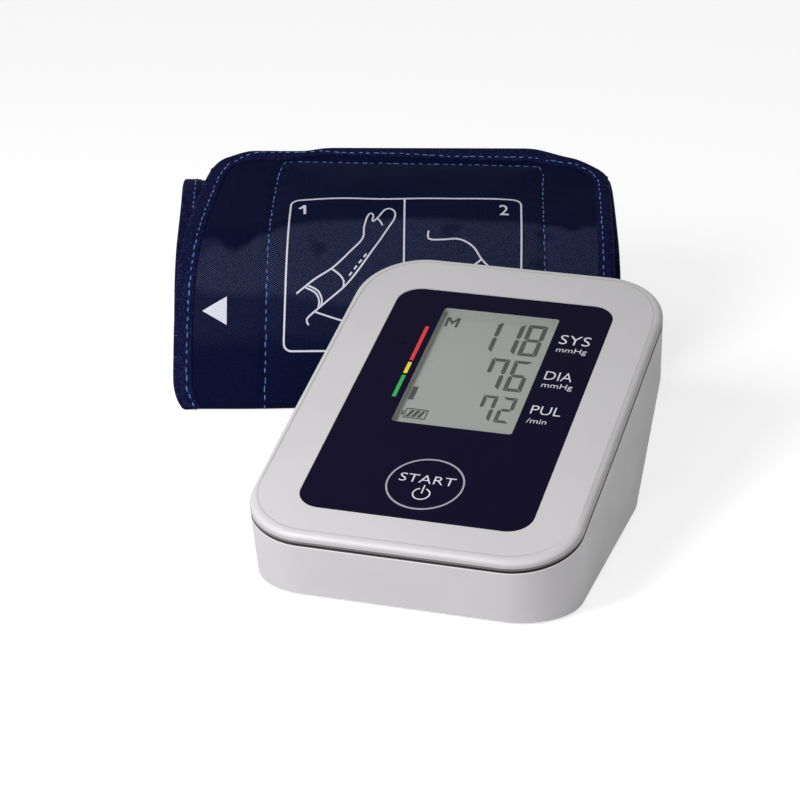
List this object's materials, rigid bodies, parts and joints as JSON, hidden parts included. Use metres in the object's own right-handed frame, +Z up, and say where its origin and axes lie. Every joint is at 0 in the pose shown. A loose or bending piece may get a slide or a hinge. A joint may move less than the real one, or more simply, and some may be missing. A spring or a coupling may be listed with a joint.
{
  "type": "arm-in blood pressure monitor",
  "caption": "Sloping desk unit with a tall grey display and a round start key, battery tray below, and a soft arm cuff rolled into a sleeve lying beside it",
  "frame": {"origin": "middle of the overall footprint, at table level", "axes": "+Z up, front of the desk unit faces -Y, its right side faces +X"},
  "size_m": [0.2106, 0.2861, 0.0709],
  "materials": {
    "base_shell": "fine spark texture, cool light grey",
    "cover_shell": "satin, light grey",
    "panel_film": "glossy dark blue violet film",
    "lens_clear": "clear, hard coated",
    "button_face": "glossy dark film with a pale ring",
    "black_plastic": "moulded black",
    "switch_cap": "moulded, dark grey",
    "display_cell": "grey green reflective display",
    "white_plastic": "moulded white",
    "strip_rubber": "layered conductive rubber",
    "board_laminate": "green solder mask",
    "plated_steel": "zinc plated",
    "bright_can": "drawn metal can",
    "capacitor_sleeve": "shrunk dark blue sleeve",
    "sensor_body": "moulded off white",
    "cell_jacket": "printed jacket, plain",
    "contact_metal": "nickel plated strip and wire",
    "foot_rubber": "matt soft rubber",
    "motor_can": "drawn bright can",
    "soft_rubber": "soft black rubber",
    "coil_body": "enamelled copper winding",
    "socket_plastic": "moulded dark grey",
    "tube_silicone": "milky silicone",
    "lead_red": "red insulation",
    "lead_black": "black insulation",
    "cuff_cloth": "navy twill with a slight sheen",
    "lining_cloth": "close knitted dark blue lining",
    "bladder_film": "welded film bag",
    "binding_tape": "folded edge tape, stitched",
    "hook_tape": "stiff hooks",
    "loop_tape": "brushed loops"
  },
  "bodies": {
    "monitor": {"bottom_housing": "base_shell", "top_cover": "cover_shell", "front_panel": "panel_film", "display_lens": "lens_clear", "start_switch": "black_plastic", "display_glass": "display_cell", "display_frame": "white_plastic", "display_reflector": "white_plastic", "zebra_strips": "strip_rubber", "main_board": "board_laminate", "board_screws": "plated_steel", "controller_chip": "black_plastic", "memory_chip": "black_plastic", "motor_driver": "black_plastic", "crystal": "bright_can", "board_connectors": "white_plastic", "capacitors": "capacitor_sleeve", "buzzer": "black_plastic", "pressure_sensor": "sensor_body", "battery_cells": "cell_jacket", "contact_plates": "contact_metal", "contact_springs": "contact_metal", "rubber_feet": "foot_rubber", "case_screws": "plated_steel", "pump_motor": "motor_can", "pump_crankcase": "black_plastic", "pump_diaphragm": "soft_rubber", "pump_cap": "black_plastic", "pump_cushion": "soft_rubber", "valve_coil": "coil_body", "valve_cap": "black_plastic", "air_manifold": "white_plastic", "leak_valve": "soft_rubber", "air_socket": "socket_plastic", "pump_tube": "tube_silicone", "socket_tube": "tube_silicone", "sensor_tube": "tube_silicone", "valve_tube": "tube_silicone", "power_inlet": "black_plastic", "battery_leads": "lead_red", "motor_leads": "lead_red", "valve_leads": "lead_black", "inlet_leads": "lead_black"},
    "start_button": {"start_button": "button_face"},
    "switch_plunger": {"switch_plunger": "switch_cap"},
    "battery_door": {"battery_door": "base_shell"},
    "pump_rotor": {"motor_shaft": "plated_steel", "pump_eccentric": "white_plastic"},
    "valve_plunger": {"valve_plunger": "plated_steel"},
    "cuff": {"cuff_outer_cloth": "cuff_cloth", "cuff_lining": "lining_cloth", "cuff_bladder": "bladder_film", "cuff_binding": "binding_tape", "cuff_hook_pad": "hook_tape", "cuff_loop_pad": "loop_tape", "cuff_air_fitting": "socket_plastic"}
  },
  "joints": [
    {"name": "start_key_press", "type": "slide", "parent": "monitor", "child": "start_button", "axis": [0, 0.2723, -0.9622], "range_m": [0, 0.0005], "stiffness_N_per_m": 1500, "springref_m": -0.0003},
    {"name": "switch_travel", "type": "slide", "parent": "monitor", "child": "switch_plunger", "axis": [0, 0.2723, -0.9622], "range_m": [0, 0.0005]},
    {"name": "battery_door_tip", "type": "hinge", "parent": "monitor", "child": "battery_door", "pos_m": [0.0518, -0.0493, 0.0017], "axis": [1, 0, 0], "range_deg": [0, 70]},
    {"name": "pump_spin", "type": "hinge", "parent": "monitor", "child": "pump_rotor", "pos_m": [0.0528, -0.0316, 0.0195], "axis": [1, 0, 0], "continuous": true},
    {"name": "valve_lift", "type": "slide", "parent": "monitor", "child": "valve_plunger", "axis": [0, 0, 1], "range_m": [0, 0.0008], "stiffness_N_per_m": 120, "springref_m": -0.002},
    {"name": "cuff_lift", "type": "slide", "parent": "monitor", "child": "cuff", "axis": [0, 0, 1], "range_m": [0, 0.15]}
  ],
  "couplings": [
    {"joint": "switch_travel", "follows": "start_key_press", "ratio": 0.8}
  ]
}
